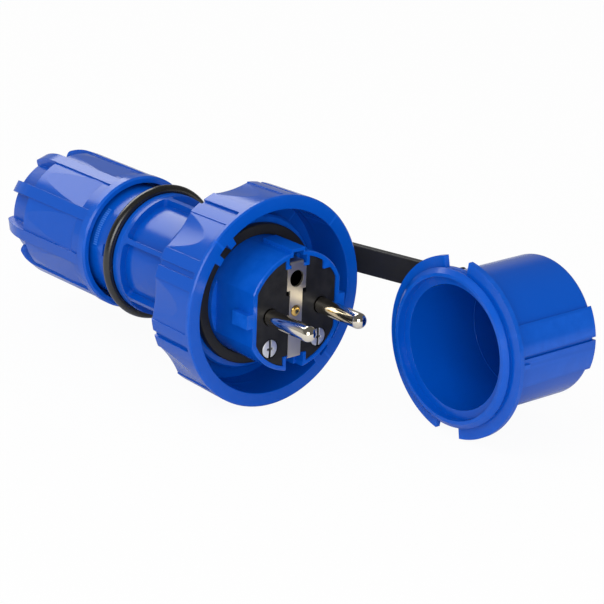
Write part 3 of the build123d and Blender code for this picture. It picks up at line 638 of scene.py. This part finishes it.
@dataclass
class CouplingRing:
    """Bayonet ring: double lands and finger scoops outside, tabs and low ramps inside."""

    finish: bpy.types.Material
    front: float = -9.1
    rear: float = -27.5
    band: float = 1.5
    edge: float = 0.4
    outer: float = 32.2
    taper: float = 0.5
    panel_depth: float = 0.35
    mouth: float = 28.0
    mouth_edge: float = 0.2
    support: float = 0.05  # flat strip that keeps the front face flat in shading
    wall_front: float = -24.7
    bore: float = 22.06
    lands: int = 9
    phase: float = 116.0
    land: float = 17.0
    groove: float = 1.7
    groove_depth: float = 0.8
    scoop_front: float = -14.0
    scoop_floor: float = 30.2  # distance of the scoop's middle from the axis at the ring's rear
    scoop_curve: float = 34.0  # radius of the scoop's hollow
    tabs: tuple[float, ...] = (129.2, 142.1, 309.2, 322.1)
    tab_half: float = 2.65
    tab_height: float = 2.3
    tab_rear: float = -12.3
    ramps: tuple[float, ...] = (60.0, 240.0)
    ramp_half: float = 35.0
    ramp_rise: float = 0.15
    ramp_middle: float = -19.8
    ramp_fade: float = 8.0  # degrees over which a ramp fades out at each end
    ramp_crest: float = 0.2  # half the width of a ramp's top
    ramp_foot: float = 1.2  # half the width of its foot
    wall: float = 0.06  # half the width in degrees over which a steep wall rises
    beside_wall: float = 0.3  # degrees from a steep wall to the next place on each side
    step: float = 0.6  # degrees between even places
    nearest: float = 0.1  # an even place this close to a wall's own is left out
    wall_run: float = 0.03  # half the length over which a groove's or a tab's wall rises
    edge_depth: float = 0.8  # share of a full quarter round that the rear edge takes

    def angles(self) -> Grid:
        """Places round the ring: even steps, and a close pair at every steep wall.

        Returns:
            Rising angles in degrees.
        """
        half, slot = self.land / 2, math.degrees(self.groove / 2 / self.outer)
        beside = np.array([-self.beside_wall, -self.wall, self.wall, self.beside_wall])
        walls = [half + beside, -half + beside, slot + beside, -slot + beside]
        local = np.concatenate([*walls, [-slot / 2, slot / 2]])
        centres = self.phase + np.arange(self.lands) * 360 / self.lands
        tab = np.concatenate([self.tab_half + beside, -self.tab_half + beside])
        at_lands = (centres[:, None] + local).ravel()
        at_tabs = (np.array(self.tabs)[:, None] + tab).ravel()
        close = np.concatenate([at_lands, at_tabs]) % 360
        even = np.arange(0, 360, self.step)
        gap = np.abs(even[:, None] - close[None, :]).min(axis=1)
        return np.sort(np.concatenate([even[gap > self.nearest], close]))

    def outside(self, x: Grid, angle: Grid) -> Grid:
        """Radius of the gripped outside behind the front band.

        A panel is the tapered land radius less the panel depth. A land adds that depth back
        between two steep steps. A groove takes its depth where the distance to a round-ended slot
        is negative. A scoop is a hollow cylinder that sinks towards the rear: with side the angle
        from its middle and d the distance of its floor, its radius is
        (d + (panel sin side) squared / (2 curve)) / cos side, and the smaller radius counts. The
        rear edge falls off as part of a quarter round.

        Args:
            x: Places along the axis.
            angle: Angles round it in degrees.

        Returns:
            The radii.
        """
        start = self.front - self.band
        pitch = 360 / self.lands
        land = self.outer - self.taper * (x - start) / (self.rear - start)
        panel = land - self.panel_depth
        local = (angle - self.phase + pitch / 2) % pitch - pitch / 2
        half = self.land / 2
        on_land = 1 - smooth_step(np.abs(local), half - self.wall, half + self.wall)
        radius = panel + self.panel_depth * on_land
        across = land * np.sin(np.radians(local))
        ahead = np.maximum(x - (start - self.groove / 2), 0)
        slot = np.hypot(across, ahead) - self.groove / 2
        radius = radius - self.groove_depth * (1 - smooth_step(slot, -self.wall_run, self.wall_run))
        side = np.radians(pitch / 2 - np.abs(local))
        share = (x - self.rear) / (self.scoop_front - self.rear)
        level = self.scoop_floor + (self.outer - self.panel_depth - self.scoop_floor) * share
        scoop = (level + (panel * np.sin(side)) ** 2 / (2 * self.scoop_curve)) / np.cos(side)
        radius = np.where(np.abs(local) > half, np.minimum(radius, scoop), radius)
        left = np.clip(self.edge - (x - self.rear), 0, self.edge)
        return radius - (self.edge - np.sqrt(self.edge ** 2 - left ** 2)) * self.edge_depth

    def inside(self, x: Grid, angle: Grid) -> Grid:
        """Radius of the inner wall: the mouth less the tabs near the front and the two low ramps.

        A ramp follows a helix, as its middle moves along the axis with the angle, and it fades
        out at both ends and on both sides.

        Args:
            x: Places along the axis.
            angle: Angles round it in degrees.

        Returns:
            The radii.
        """
        radius = np.broadcast_to(self.mouth, np.broadcast_shapes(x.shape, angle.shape)).copy()
        for place in self.tabs:
            away = np.abs(angle - place)
            mask = 1 - smooth_step(away, self.tab_half - self.wall, self.tab_half + self.wall)
            ahead = smooth_step(x, self.tab_rear - self.wall_run, self.tab_rear + self.wall_run)
            radius -= self.tab_height * mask * ahead
        for place in self.ramps:
            away = angle - place
            ends = 1 - smooth_step(np.abs(away), self.ramp_half - self.ramp_fade, self.ramp_half)
            middle = self.ramp_middle + away / self.ramp_half
            sides = 1 - smooth_step(np.abs(x - middle), self.ramp_crest, self.ramp_foot)
            radius -= self.ramp_rise * ends * sides
        return radius

    def inner_places(self) -> Grid:
        """Places along the axis on the inner wall: close over the ramps and at the tabs' rear."""
        over_ramps = np.linspace(-22.0, -17.6, 16)
        at_tabs = self.tab_rear + np.array([-0.3, -0.04, 0.04, 0.3])
        at_mouth = [self.front - 1.0, self.front - self.mouth_edge]
        return np.concatenate([[self.wall_front, -23.0], over_ramps, [-15.0], at_tabs, at_mouth])

    def outer_places(self) -> Grid:
        """Places along the axis on the gripped outside: close at the grooves' ends and the rear edge."""
        start = self.front - self.band
        at_grooves = start - np.array([0.02, 0.08, 0.15, 0.25, 0.4, 0.6, 0.85])
        along = np.linspace(start - 1.2, self.rear + self.edge, 42)
        at_rear = self.rear + self.edge * np.array([0.6, 0.3, 0.1, 0.0])
        return np.concatenate([at_grooves, along, at_rear])

    def build(self) -> None:
        """Makes the ring as one closed grid: places round the axis times points of a section."""
        angle = self.angles()[:, None]
        start = self.front - self.band
        quarter = np.radians(np.linspace(0, 90, 5))
        wall, grips = self.inner_places()[None, :], self.outer_places()[None, :]
        lip = self.inside(np.full((1, 1), self.front), angle)
        parts = [
            (wall, self.inside(wall, angle)),
            (self.front - self.mouth_edge * (1 - np.sin(quarter))[None, 1:],
             lip + self.mouth_edge * (1 - np.cos(quarter))[None, 1:]),
            (np.array([[self.front]]), lip + self.mouth_edge + self.support),
            (np.array([[self.front, self.front - self.edge, start]]),
             np.array([[self.outer - self.edge, self.outer, self.outer]])),
            (grips, self.outside(grips, angle)),
            (np.array([[self.rear, self.wall_front]]), np.array([[self.bore, self.bore]])),
        ]
        shapes = [(len(angle), along.shape[1]) for along, _ in parts]
        x = np.hstack([np.broadcast_to(along, shape) for (along, _), shape in zip(parts, shapes)])
        r = np.hstack([np.broadcast_to(radius, shape) for (_, radius), shape in zip(parts, shapes)])
        y, z = polar(r, angle)
        shell = Shell(np.stack([x, y, z], -1).reshape(-1, 3), grid_faces(*x.shape, close_rows=True))
        piece = make_piece("bayonet_ring", shell, self.finish, Body.RING, smooth_angle=30.0)
        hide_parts("coupling_ring")
        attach(piece, Body.RING.value)


# Rubber pieces


@dataclass
class Tether:
    """Rubber strap: an eye round the housing, and a flat band past the ring with a saddle on the cap."""

    finish: bpy.types.Material
    width: float = 8.4
    thickness: float = 2.4
    corner: float = 0.5
    eye_x: float = -32.0
    eye_inner: float = 20.4
    eye_outer: float = 24.6
    eye_slack: float = 0.1  # how much thinner the eye is than the band that leaves it
    root_y: float = 22.0  # where the band starts inside the eye
    flex_y: float = 28.4
    flex_half: float = 1.5  # half the length of band that bends
    corner_y: float = 32.589  # where the band's two straight runs would meet
    bend: float = 4.5
    lean: float = 13.6
    band_z: float = 5.1
    cap_x: float = 38.4
    cap_z: float = -5.2
    band_end: float = 21.5  # distance from the cap's axis at which the band ends, inside the saddle
    saddle_inner: float = 21.1
    saddle_wall: float = 1.8
    saddle_y: float = 41.54
    saddle_width: float = 11.0
    saddle_from: float = 134.0
    saddle_sweep: float = 150.0
    saddle_tip: float = 3.0  # radius of the corners of the saddle's ends
    run_steps: int = 24  # places along the first run, and along the bend
    lean_steps: int = 30  # places along the second run
    tip_steps: int = 10  # places on each end of the saddle
    saddle_steps: int = 70  # places between its ends
    eye_steps: int = 120  # places round the eye

    def band(self) -> Shell:
        """Flat band: a rounded section carried along a run, a bend and a second run.

        The first run goes along +Y at the eye. The bend is an arc whose centre lies beside it, and
        the second run leans by a fixed angle. On the second run each line of the section goes on
        to the cylinder round the cap's axis, at x = axis minus the root of R squared minus the
        line's height over the axis squared, so the end fits the round cap.

        Returns:
            The shell.
        """
        section = rounded_section(self.thickness, self.width, self.corner)
        side, height = section[None, :, 0], section[None, :, 1] + self.band_z
        turn = 90 - self.lean
        reach = self.bend * math.tan(math.radians(turn / 2))
        bend_y = self.corner_y - reach
        run = np.linspace(self.root_y, bend_y, self.run_steps)[:, None]
        first = np.stack(np.broadcast_arrays(self.eye_x + side, run, height), -1)
        angle = np.linspace(180, 180 - turn, self.run_steps)[1:, None]
        dx, dy = polar(self.bend - side, angle)
        arc = np.stack(np.broadcast_arrays(self.eye_x + self.bend + dx, bend_y + dy, height), -1)
        start = arc[-1]
        above = height[0] - self.cap_z
        end_x = self.cap_x - np.sqrt(self.band_end ** 2 - above ** 2)
        share = np.linspace(0, 1, self.lean_steps)[1:, None]
        x = start[None, :, 0] + share * (end_x - start[:, 0])[None, :]
        y = start[None, :, 1] + (x - start[None, :, 0]) * math.tan(math.radians(self.lean))
        second = np.stack(np.broadcast_arrays(x, y, height), -1)
        return loft(np.concatenate([first, arc, second]))

    def saddle(self) -> Shell:
        """Saddle round the cap: a rounded section carried along an arc, narrower at its two ends.

        Near an end the half width is what is left of a round corner: the half width less the
        corner radius, plus the root of the radius squared minus the missing length squared.

        Returns:
            The shell.
        """
        middle = self.saddle_inner + self.saddle_wall / 2
        length = math.radians(self.saddle_sweep) * middle
        ends = self.saddle_tip * (1 - np.cos(np.linspace(0, np.pi / 2, self.tip_steps)))
        between = np.linspace(self.saddle_tip, length - self.saddle_tip, self.saddle_steps)[1:-1]
        place = np.concatenate([ends, between, (length - ends)[::-1]])
        missing = self.saddle_tip - np.minimum(np.minimum(place, length - place), self.saddle_tip)
        half = self.saddle_width / 2 - self.saddle_tip + np.sqrt(self.saddle_tip ** 2 - missing ** 2)
        section = rounded_section(self.saddle_wall, self.saddle_width, self.corner)
        radius = middle + section[None, :, 0]
        angle = self.saddle_from + np.degrees(place / middle)[:, None]
        dx, dz = polar(radius, angle)
        y = self.saddle_y + section[None, :, 1] * (half / (self.saddle_width / 2))[:, None]
        return loft(np.stack([self.cap_x + dx, y, self.cap_z + dz], -1))

    def build(self) -> None:
        """Makes the band with its saddle, and the eye itself."""
        band = make_piece("tether_strap", self.band() + self.saddle(), self.finish, Body.CAP)
        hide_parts("strap")
        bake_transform(band)
        thickness, wall = self.thickness - self.eye_slack, self.eye_outer - self.eye_inner
        section = rounded_section(thickness, wall, self.corner)
        section = section + (self.eye_x, (self.eye_outer + self.eye_inner) / 2)
        eye = make_piece("tether_eye", turned(section, self.eye_steps), self.finish, Body.EYE)
        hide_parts("strap_eye")
        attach(eye, Body.EYE.value)


@dataclass
class Seals:
    """The round seal behind the waist and the flat gasket round the contact carrier."""

    ring_finish: bpy.types.Material
    gasket_finish: bpy.types.Material
    flash: float = 0.06  # thin mould line round the round seal
    flash_width: float = 0.12  # sine of the angle at which the mould line has mostly faded
    gasket_inner: float = 18.2
    gasket_corner: float = 0.4
    section_steps: int = 48
    steps: int = 180

    def ring(self) -> None:
        """Round seal: a circular section with a slight mould line, turned about the axis.

        The section's radius is half the seal's thickness less the flash. The flash comes back as a
        narrow bell about 180 degrees, on the rear side: the exponential of minus the squared share
        of the angle's sine in the flash's width.
        """
        low, high = (np.array(corner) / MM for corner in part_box("collar_seal"))
        section = (high[0] - low[0]) / 2
        angle = np.linspace(0, 360, self.section_steps, endpoint=False)
        along, across = polar(1.0, angle)
        bell = np.exp(-(across / self.flash_width) ** 2) * (along < 0)
        x, r = polar(section - self.flash + self.flash * bell, angle)
        loop = np.stack([(low[0] + high[0]) / 2 + x, high[2] - section + r], -1)
        shell = turned(loop, self.steps)
        piece = make_piece("collar_seal_ring", shell, self.ring_finish, Body.HOUSING)
        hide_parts("collar_seal")
        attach(piece, Body.HOUSING.value)

    def gasket(self) -> None:
        """Face gasket: a flat ring with rounded corners, turned about the axis."""
        low, high = (np.array(corner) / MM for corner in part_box("face_gasket"))
        outer, thickness = high[2], high[0] - low[0]
        section = rounded_section(thickness, outer - self.gasket_inner, self.gasket_corner)
        section = section + (low[0] + thickness / 2, (outer + self.gasket_inner) / 2)
        shell = turned(section, self.steps)
        piece = make_piece("gasket_ring", shell, self.gasket_finish, Body.HOUSING)
        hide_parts("face_gasket")
        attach(piece, Body.HOUSING.value)

    def build(self) -> None:
        """Makes both seals."""
        self.ring()
        self.gasket()


@dataclass
class CapLine:
    """Fine raised line round the inside of the cap."""

    finish: bpy.types.Material
    axis_x: float = 38.4
    axis_z: float = -5.2
    place_y: float = 53.0
    radius: float = 18.5
    thickness: float = 0.3
    steps: int = 160

    def build(self) -> None:
        """Makes the line: a small rounded section turned about the cap's axis.

        The ring is turned about X first. Its points (x, y, z) then become (y, x, z), moved to the
        cap's axis.
        """
        section = rounded_section(self.thickness, self.thickness, self.thickness / 3)
        ring = turned(section + (self.place_y, self.radius), self.steps)
        ring.points = ring.points[:, [1, 0, 2]] + (self.axis_x, 0, self.axis_z)
        line = make_piece("cap_line", ring, self.finish, Body.CAP)
        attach(line, Body.CAP.value)


# Small metal pieces


@dataclass
class FaceFasteners:
    """The two screws of the face plate and the brass rivet of the earth strip."""

    screw_finish: bpy.types.Material
    rivet_finish: bpy.types.Material
    places: tuple[tuple[float, float], ...] = ((9.1, -9.95), (-9.1, -9.95))
    head_radius: float = 2.8
    head_front: float = -0.15
    head_back: float = -1.95
    dome: float = 0.12
    rim: float = 0.25
    slot: float = 0.6
    cross: float = 2.0
    cross_width: float = 0.54
    cross_depth: float = 0.5  # share of the slot's depth
    depth: float = 0.9
    edge: float = 0.12
    floor: float = 0.2  # least thickness of a head under its recess
    rim_from: float = 0.9  # share of the radius at which the rim starts to fall
    rim_steepness: float = 0.98  # 1 would stand upright at the edge
    head_steps: int = 120
    rivet_radius: float = 1.6
    rivet_rise: float = 0.55
    rivet_back: float = -0.4
    rivet_steps: int = 48

    def recess(self, y: Grid, z: Grid) -> Grid:
        """Depth of the drive recess at a point of the head.

        It is the depth times the larger of two masks, each from smooth steps of the distance to a
        middle line: a slot along Z, and a shallower, short cross bar along Y.

        Args:
            y: Distances from the screw's middle along Y.
            z: Distances from it along Z.

        Returns:
            The depths.
        """
        half, bar_half, arm = self.slot / 2, self.cross_width / 2, self.cross / 2
        slot = 1 - smooth_step(np.abs(y), half, half + self.edge)
        bar = 1 - smooth_step(np.abs(z), bar_half, bar_half + self.edge)
        bar = bar * (1 - smooth_step(np.abs(y), arm, arm + self.edge))
        return self.depth * np.maximum(slot, self.cross_depth * bar)

    def head(self, y: float, z: float) -> Shell:
        """Screw head: a slightly domed disc with a slot, a small cross and a rounded rim.

        Its height over the head's front is the dome times 1 minus the squared share of the
        radius, less the rim's round, less the recess.

        Args:
            y: Place of the screw along Y.
            z: Place of the screw along Z.

        Returns:
            The shell.
        """
        share = np.concatenate([np.linspace(0, self.rim_from, 40), np.linspace(0.92, 1, 8)])
        angle = np.arange(self.head_steps) * 360 / self.head_steps
        dy, dz = polar(share[:, None] * self.head_radius, angle[None, :])
        over = smooth_step(share, self.rim_from, 1.0)
        fall = self.rim * (1 - np.sqrt(1 - over ** 2 * self.rim_steepness))
        front = self.head_front + self.dome * (1 - share ** 2) - fall
        x = np.maximum(front[:, None] - self.recess(dy, dz), self.head_back + self.floor)
        top = np.stack(np.broadcast_arrays(x, y + dy, z + dz), -1)
        low = top[-1].copy()
        low[:, 0] = self.head_back
        bottom = low.copy()
        bottom[:, 1:] = (y, z)
        faces = grid_faces(len(share) + 2, self.head_steps, close_rows=False)
        return Shell(np.concatenate([top.reshape(-1, 3), low, bottom]), faces)

    def build(self) -> None:
        """Makes the two heads in one piece and the domed rivet head."""
        heads = self.head(*self.places[0]) + self.head(*self.places[1])
        screws = make_piece("face_screw_heads", heads, self.screw_finish, Body.HOUSING)
        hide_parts("face_screws")
        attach(screws, Body.HOUSING.value)
        lift = np.linspace(0, 90, 16)
        r, x = polar(1.0, lift)
        dome = np.stack([x * self.rivet_rise, r * self.rivet_radius], -1)
        section = np.concatenate([[(self.rivet_back, 0.0), (self.rivet_back, self.rivet_radius)], dome])
        shell = turned(section, self.rivet_steps)
        rivet = make_piece("rivet_head", shell, self.rivet_finish, Body.HOUSING)
        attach(rivet, Body.HOUSING.value)


@dataclass
class NeckTeeth:
    """Fine low teeth round the neck just in front of the sleeve's mouth, in three arcs."""

    finish: bpy.types.Material
    front: float = -73.5
    rear: float = -75.2
    root: float = 17.79
    tip: float = 17.88
    inner: float = 17.5
    pitch: float = 2.2
    flank: float = 0.12  # share of the pitch over which a tooth rises or falls
    fall_from: float = 0.5  # share of the pitch at which it starts to fall
    teeth: int = 18
    arcs: tuple[float, ...] = (132.0, 252.0, 12.0)

    def arc(self, start: float) -> Shell:
        """One arc of teeth: a flat section carried round the axis, whose outer side is toothed.

        The outer radius rises from the root to the tip over the flank's share of each pitch, stays
        there, and falls back over as much.

        Args:
            start: Angle at which the arc starts.

        Returns:
            The shell.
        """
        share = np.array([0.0, self.flank, self.fall_from, self.fall_from + self.flank])
        angle = (start + self.pitch * (np.arange(self.teeth)[:, None] + share[None, :])).ravel()
        tooth = np.array([self.root, self.tip, self.tip, self.root])
        saw = np.broadcast_to(tooth[None, :], (self.teeth, len(share))).ravel()
        x = np.array([self.front, self.rear, self.rear, self.front])
        radius = np.stack([saw, saw, np.full_like(saw, self.inner), np.full_like(saw, self.inner)], -1)
        y, z = polar(radius, angle[:, None])
        return loft(np.stack(np.broadcast_arrays(x[None, :], y, z), -1))

    def build(self) -> None:
        """Makes the three arcs in one piece."""
        shell = self.arc(self.arcs[0]) + self.arc(self.arcs[1]) + self.arc(self.arcs[2])
        teeth = make_piece("neck_teeth", shell, self.finish, Body.HOUSING, smooth_angle=10.0)
        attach(teeth, Body.HOUSING.value)


# Studio


@dataclass
class Studio:
    """Floor, lamps, world and camera. The camera's fields are the photograph's view."""

    floor_z: float = -32.2
    floor_side: float = 3000.0  # from the middle of the floor to its edges
    floor_grey: float = 0.9
    floor_white: float = 0.95  # share of plain white in what the camera sees of the floor
    azimuth: float = 41.1475
    elevation: float = 19.5334
    roll: float = 2.3264
    side: float = 1.8522
    lift: float = 2.5179
    distance: float = 722.3476
    focal_pixels: float = 2500.0
    image: int = 604
    sensor: float = 36.0
    clip_start: float = 10.0
    soft_level: float = 0.6
    dark_towards: tuple[float, float, float] = (0.6, 0.0, 1.0)  # where the studio is dark in gloss
    pale_from: float = -0.12  # height towards the dark side up to which the horizon is pale
    dark_from: float = 0.18
    pale_level: float = 0.42
    dark_level: float = 0.12

    def camera(self) -> None:
        """Camera that looks from an azimuth and an elevation, with the photograph's roll and shift.

        Its axes are the view's right, up and back vectors, turned by the roll about the view's
        own axis, and its place is back times the distance plus the two small offsets.
        """
        a, e, r = (math.radians(v) for v in (self.azimuth, self.elevation, self.roll))
        back = Vector((math.cos(e) * math.cos(a), -math.cos(e) * math.sin(a), math.sin(e)))
        right = Vector((0, 0, 1)).cross(back).normalized()
        up = back.cross(right)
        right, up = right * math.cos(r) + up * math.sin(r), up * math.cos(r) - right * math.sin(r)
        place = (back * self.distance + right * self.side + up * self.lift) * MM
        data = bpy.data.cameras.new("photo_camera")
        data.sensor_width = self.sensor
        data.lens = self.focal_pixels / self.image * data.sensor_width
        data.clip_start = self.clip_start * MM
        view = bpy.data.objects.new("photo_camera", data)
        turn = Matrix((right, up, back)).transposed().to_4x4()
        view.matrix_world = Matrix.Translation(place) @ turn
        bpy.context.scene.collection.objects.link(view)
        bpy.context.scene.camera = view

    def lamp(self, name: str, towards: tuple[float, float, float], distance: float,
             size: tuple[float, float], radiance: float, diffuse: bool, gloss: bool) -> None:
        """Rectangular soft lamp that faces the plug.

        The power of a flat lamp is its radiance times its area times pi.

        Args:
            name: Name of the lamp.
            towards: Direction from the plug to the lamp.
            distance: Distance from the plug in metres.
            size: Its two sides in metres.
            radiance: Brightness of its face, where 1 is white.
            diffuse: Whether it lights dull surfaces.
            gloss: Whether it is seen in reflections.
        """
        data = bpy.data.lights.new(name, "AREA")
        data.shape = "RECTANGLE"
        data.size, data.size_y = size
        data.energy = radiance * size[0] * size[1] * math.pi
        place = Vector(towards).normalized() * distance
        lamp = bpy.data.objects.new(name, data)
        lamp.location = place
        lamp.rotation_euler = (-place).to_track_quat("-Z", "Y").to_euler()
        lamp.visible_diffuse = diffuse
        lamp.visible_glossy = gloss
        bpy.context.scene.collection.objects.link(lamp)

    def floor(self) -> None:
        """Wide pale floor that the camera sees nearly white, with the plug's soft shadow."""
        side = self.floor_side
        points = np.array([[-side, -side, 0], [side, -side, 0], [side, side, 0], [-side, side, 0]], float)
        points[:, 2] = self.floor_z
        mesh = bpy.data.meshes.new("floor")
        mesh.from_pydata((points * MM).tolist(), [], [[0, 1, 2, 3]])
        floor = bpy.data.objects.new("floor", mesh)
        bpy.context.scene.collection.objects.link(floor)
        material, nodes, shader = empty_material("pale_floor")
        shader.inputs["Base Color"].default_value = (*(self.floor_grey,) * 3, 1)
        shader.inputs["Roughness"].default_value = 0.9
        shader.inputs["Specular IOR Level"].default_value = 0.1
        path = nodes.add("LightPath")
        share = nodes.add("Math", {1: self.floor_white}, operation="MULTIPLY")
        white = nodes.add("Emission", {"Color": (1, 1, 1, 1), "Strength": 1.0})
        mix = nodes.add("MixShader")
        output = next(node for node in material.node_tree.nodes
                      if node.bl_idname == "ShaderNodeOutputMaterial")
        nodes.join(path, "Is Camera Ray", share, 0)
        nodes.join(share, 0, mix, 0)
        nodes.join(shader, 0, mix, 1)
        nodes.join(white, 0, mix, 2)
        nodes.join(mix, 0, output, "Surface")
        mesh.materials.append(material)

    def world(self) -> None:
        """Surroundings: white to the camera, soft light, and in gloss a dark ceiling over a pale horizon."""
        world = bpy.data.worlds.new("studio")
        world.use_nodes = True
        nodes = Nodes(world.node_tree)
        path = nodes.add("LightPath")
        direction = nodes.add("TexCoord")
        height = nodes.add("VectorMath", {1: self.dark_towards}, operation="DOT_PRODUCT")
        limits = {"From Min": self.pale_from, "From Max": self.dark_from,
                  "To Min": self.pale_level, "To Max": self.dark_level}
        ceiling = nodes.add("MapRange", limits)
        gloss = nodes.add("Background", {"Color": (1, 1, 1, 1)})
        soft = nodes.add("Background", {"Color": (1, 1, 1, 1), "Strength": self.soft_level})
        white = nodes.add("Background", {"Color": (1, 1, 1, 1), "Strength": 1.0})
        inner = nodes.add("MixShader")
        outer = nodes.add("MixShader")
        output = nodes.add("OutputWorld")
        nodes.join(direction, "Generated", height, 0)
        nodes.join(height, "Value", ceiling, "Value")
        nodes.join(ceiling, 0, gloss, "Strength")
        nodes.join(path, "Is Glossy Ray", inner, 0)
        nodes.join(soft, 0, inner, 1)
        nodes.join(gloss, 0, inner, 2)
        nodes.join(path, "Is Camera Ray", outer, 0)
        nodes.join(inner, 0, outer, 1)
        nodes.join(white, 0, outer, 2)
        nodes.join(outer, 0, output, "Surface")
        bpy.context.scene.world = world

    def build(self) -> None:
        """Sets up the plain view transform, the camera, the floor, the world and three lamps."""
        bpy.context.scene.view_settings.view_transform = "Standard"
        self.camera()
        self.floor()
        self.world()
        self.lamp("left_softbox", towards=(-0.71, 0.06, 0.68), distance=1.3, size=(1.0, 0.8),
                  radiance=4.3, diffuse=False, gloss=True)
        self.lamp("key", towards=(-0.1, -0.6, 0.8), distance=1.5, size=(0.9, 0.9),
                  radiance=2.2, diffuse=True, gloss=False)
        self.lamp("fill", towards=(0.75, -0.55, 0.33), distance=1.5, size=(0.9, 0.9),
                  radiance=4.6, diffuse=True, gloss=True)


def main() -> None:
    """Builds the plug's looks on the frame, piece by piece, and the studio round it."""
    logging.basicConfig(level=logging.INFO, format="%(message)s")
    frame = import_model()
    finishes = Finishes()
    finishes.dress(frame["nodes"])
    log.info("dressed %d solids", len(frame["nodes"]))
    CouplingRing(finishes.blue).build()
    Tether(finishes.strap).build()
    Seals(finishes.seal, finishes.rubber).build()
    FaceFasteners(finishes.zinc, finishes.brass).build()
    # the teeth take the lighter blue as their painted highlight
    NeckTeeth(finishes.highlight_blue).build()
    CapLine(finishes.blue).build()
    Studio().build()
    log.info("studio ready")


if __name__ == "__main__":
    main()
